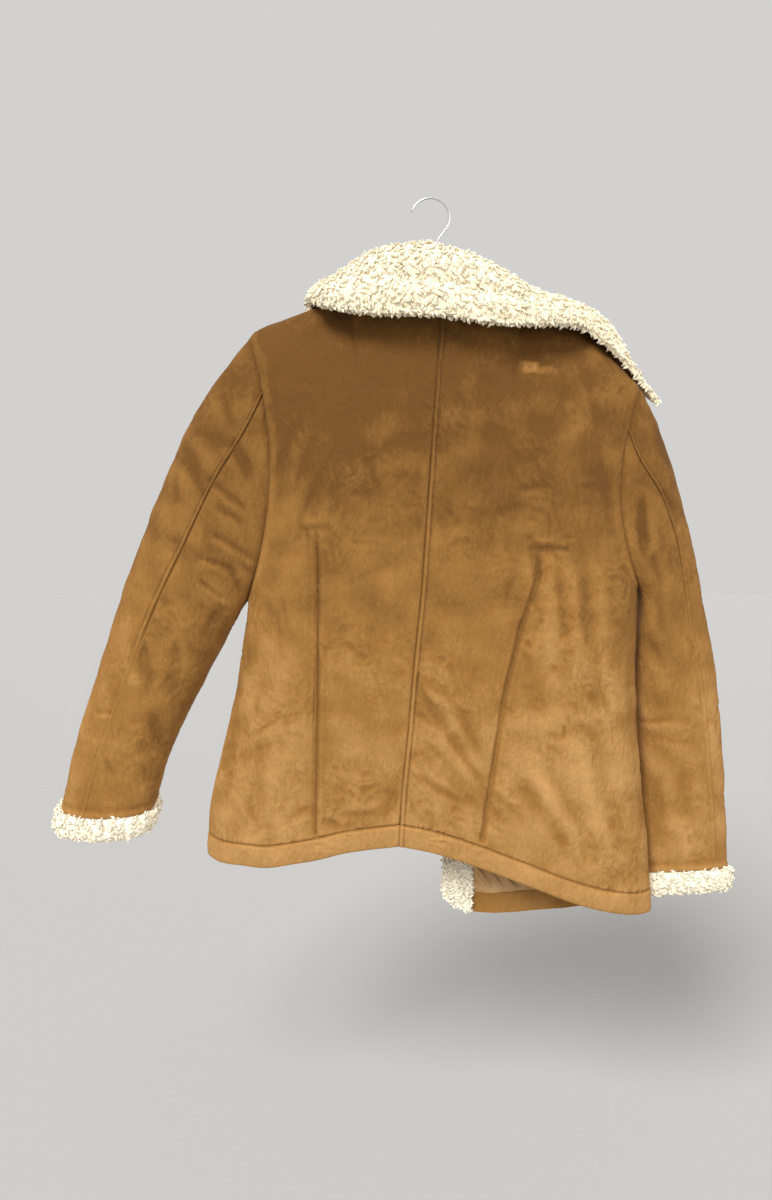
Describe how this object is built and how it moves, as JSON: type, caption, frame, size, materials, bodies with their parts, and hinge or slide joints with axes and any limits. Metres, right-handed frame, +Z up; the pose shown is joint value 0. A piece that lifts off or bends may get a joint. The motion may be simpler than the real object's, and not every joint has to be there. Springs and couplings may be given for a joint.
{
  "type": "sherpa jacket on a wire hanger",
  "caption": "Hip-length tan faux suede jacket with a wide cream sherpa collar, lapels and cuffs, hanging open and slightly tilted on a thin wire hanger.",
  "frame": {"origin": "inside top of the hanger's hook, where it bears on the rod or pin that holds it", "axes": "+Z up, +Y from the jacket's back to its open front, +X towards the wearer's right"},
  "size_m": [0.8372, 0.1579, 0.8543],
  "materials": {
    "suede": "napped tan faux suede, matte",
    "sherpa": "cream curly pile, matte",
    "satin": "beige-gold satin, soft shine",
    "wire": "bright plated wire"
  },
  "bodies": {
    "root": {"back_left": "suede", "back_right": "suede", "front_left": "suede", "front_right": "suede", "facing_left": "sherpa", "facing_right": "sherpa", "sleeve_left_top": "suede", "sleeve_left_under": "suede", "sleeve_right_top": "suede", "sleeve_right_under": "suede", "cuff_left": "sherpa", "cuff_right": "sherpa", "collar": "sherpa", "under_collar": "suede", "lining_right": "satin", "hem_facing_right": "suede", "hanger_hook": "wire", "hanger_wire": "wire"}
  },
  "joints": []
}
